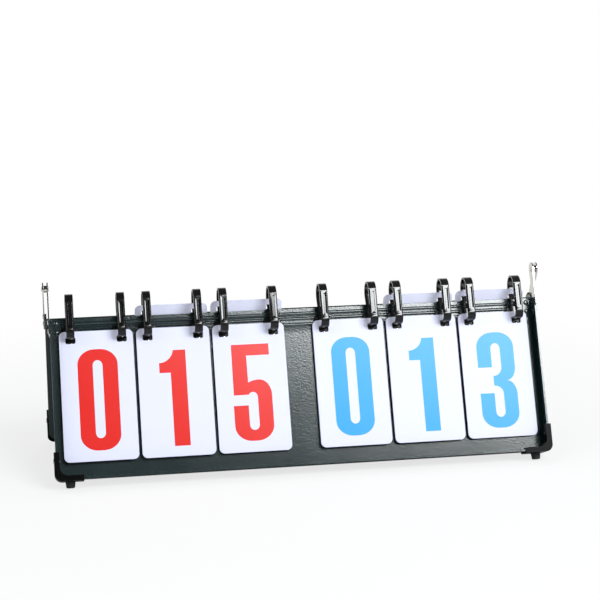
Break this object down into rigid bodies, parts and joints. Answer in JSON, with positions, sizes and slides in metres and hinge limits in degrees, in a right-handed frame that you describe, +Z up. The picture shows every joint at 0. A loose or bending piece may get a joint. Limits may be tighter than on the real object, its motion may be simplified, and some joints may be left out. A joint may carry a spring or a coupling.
{
  "type": "tabletop flip scoreboard",
  "caption": "Tabletop flip scoreboard: hinged sheet-steel trays stand as an A-frame, with numbered cards on snap rings that turn over the top.",
  "frame": {"origin": "on the table under the fold axis, at the middle of the board's length", "axes": "+X to the right along the board, +Y to the back, +Z up; the side with the cards faces -Y"},
  "size_m": [0.617, 0.203, 0.2301],
  "materials": {
    "green_powder_coat": "semi-gloss dark green powder coat with a fine orange-peel texture",
    "nickel_plate": "bright nickel-plated steel",
    "black_ring_plastic": "moulded black plastic, gloss",
    "black_guard_plastic": "moulded black plastic, satin",
    "black_rubber": "matt black rubber",
    "card_sheet": "white semi-gloss plastic card"
  },
  "bodies": {
    "front_board": {"front_brackets": "nickel_plate", "front_fasteners": "nickel_plate", "front_feet": "black_rubber", "front_foot_screws": "nickel_plate", "front_guard_left": "black_guard_plastic", "front_guard_right": "black_guard_plastic", "front_strap_left": "nickel_plate", "front_strap_right": "nickel_plate", "front_tray": "green_powder_coat", "hinge_rivets": "nickel_plate", "ring_base_1": "black_ring_plastic", "ring_base_10": "black_ring_plastic", "ring_base_11": "black_ring_plastic", "ring_base_12": "black_ring_plastic", "ring_base_2": "black_ring_plastic", "ring_base_3": "black_ring_plastic", "ring_base_4": "black_ring_plastic", "ring_base_5": "black_ring_plastic", "ring_base_6": "black_ring_plastic", "ring_base_7": "black_ring_plastic", "ring_base_8": "black_ring_plastic", "ring_base_9": "black_ring_plastic", "ring_bow_1": "black_ring_plastic", "ring_bow_10": "black_ring_plastic", "ring_bow_11": "black_ring_plastic", "ring_bow_12": "black_ring_plastic", "ring_bow_2": "black_ring_plastic", "ring_bow_3": "black_ring_plastic", "ring_bow_4": "black_ring_plastic", "ring_bow_5": "black_ring_plastic", "ring_bow_6": "black_ring_plastic", "ring_bow_7": "black_ring_plastic", "ring_bow_8": "black_ring_plastic", "ring_bow_9": "black_ring_plastic", "ring_rivets": "nickel_plate"},
    "rear_board": {"rear_brackets": "nickel_plate", "rear_fasteners": "nickel_plate", "rear_feet": "black_rubber", "rear_foot_screws": "nickel_plate", "rear_guard_left": "black_guard_plastic", "rear_guard_right": "black_guard_plastic", "rear_strap_left": "nickel_plate", "rear_strap_right": "nickel_plate", "rear_tray": "green_powder_coat"},
    "pack_1": {"card_pack_1": "card_sheet"},
    "card_1": {"front_card_1": "card_sheet"},
    "pack_2": {"card_pack_2": "card_sheet"},
    "card_2": {"front_card_2": "card_sheet"},
    "turned_2": {"turned_cards_2": "card_sheet"},
    "pack_3": {"card_pack_3": "card_sheet"},
    "card_3": {"front_card_3": "card_sheet"},
    "turned_3": {"turned_cards_3": "card_sheet"},
    "pack_4": {"card_pack_4": "card_sheet"},
    "card_4": {"front_card_4": "card_sheet"},
    "pack_5": {"card_pack_5": "card_sheet"},
    "card_5": {"front_card_5": "card_sheet"},
    "turned_5": {"turned_cards_5": "card_sheet"},
    "pack_6": {"card_pack_6": "card_sheet"},
    "card_6": {"front_card_6": "card_sheet"},
    "turned_6": {"turned_cards_6": "card_sheet"}
  },
  "joints": [
    {"name": "fold", "type": "hinge", "parent": "front_board", "child": "rear_board", "pos_m": [0, 0, 0.22215], "axis": [1, 0, 0], "range_deg": [0, 306.5]},
    {"name": "turn_pack_1", "type": "hinge", "parent": "front_board", "child": "pack_1", "pos_m": [-0.24575, -0.0137, 0.1781], "axis": [1, 0, 0], "range_deg": [-35, 0]},
    {"name": "turn_card_1", "type": "hinge", "parent": "pack_1", "child": "card_1", "pos_m": [-0.24575, -0.0137, 0.1781], "axis": [1, 0, 0], "range_deg": [-60, 0]},
    {"name": "turn_pack_2", "type": "hinge", "parent": "front_board", "child": "pack_2", "pos_m": [-0.15375, -0.0137, 0.1781], "axis": [1, 0, 0], "range_deg": [-35, 0]},
    {"name": "turn_card_2", "type": "hinge", "parent": "pack_2", "child": "card_2", "pos_m": [-0.15375, -0.0137, 0.1781], "axis": [1, 0, 0], "range_deg": [-60, 0]},
    {"name": "swing_turned_2", "type": "hinge", "parent": "front_board", "child": "turned_2", "pos_m": [-0.15375, -0.00269, 0.19094], "axis": [1, 0, 0], "range_deg": [0, 15]},
    {"name": "turn_pack_3", "type": "hinge", "parent": "front_board", "child": "pack_3", "pos_m": [-0.06175, -0.0137, 0.1781], "axis": [1, 0, 0], "range_deg": [-35, 0]},
    {"name": "turn_card_3", "type": "hinge", "parent": "pack_3", "child": "card_3", "pos_m": [-0.06175, -0.0137, 0.1781], "axis": [1, 0, 0], "range_deg": [-60, 0]},
    {"name": "swing_turned_3", "type": "hinge", "parent": "front_board", "child": "turned_3", "pos_m": [-0.06175, -0.00284, 0.192], "axis": [1, 0, 0], "range_deg": [0, 8]},
    {"name": "turn_pack_4", "type": "hinge", "parent": "front_board", "child": "pack_4", "pos_m": [0.06175, -0.0137, 0.1781], "axis": [1, 0, 0], "range_deg": [-35, 0]},
    {"name": "turn_card_4", "type": "hinge", "parent": "pack_4", "child": "card_4", "pos_m": [0.06175, -0.0137, 0.1781], "axis": [1, 0, 0], "range_deg": [-60, 0]},
    {"name": "turn_pack_5", "type": "hinge", "parent": "front_board", "child": "pack_5", "pos_m": [0.15375, -0.0137, 0.1781], "axis": [1, 0, 0], "range_deg": [-35, 0]},
    {"name": "turn_card_5", "type": "hinge", "parent": "pack_5", "child": "card_5", "pos_m": [0.15375, -0.0137, 0.1781], "axis": [1, 0, 0], "range_deg": [-60, 0]},
    {"name": "swing_turned_5", "type": "hinge", "parent": "front_board", "child": "turned_5", "pos_m": [0.15375, -0.00269, 0.19094], "axis": [1, 0, 0], "range_deg": [0, 15]},
    {"name": "turn_pack_6", "type": "hinge", "parent": "front_board", "child": "pack_6", "pos_m": [0.24575, -0.0137, 0.1781], "axis": [1, 0, 0], "range_deg": [-35, 0]},
    {"name": "turn_card_6", "type": "hinge", "parent": "pack_6", "child": "card_6", "pos_m": [0.24575, -0.0137, 0.1781], "axis": [1, 0, 0], "range_deg": [-60, 0]},
    {"name": "swing_turned_6", "type": "hinge", "parent": "front_board", "child": "turned_6", "pos_m": [0.24575, -0.00277, 0.19147], "axis": [1, 0, 0], "range_deg": [0, 12]}
  ]
}
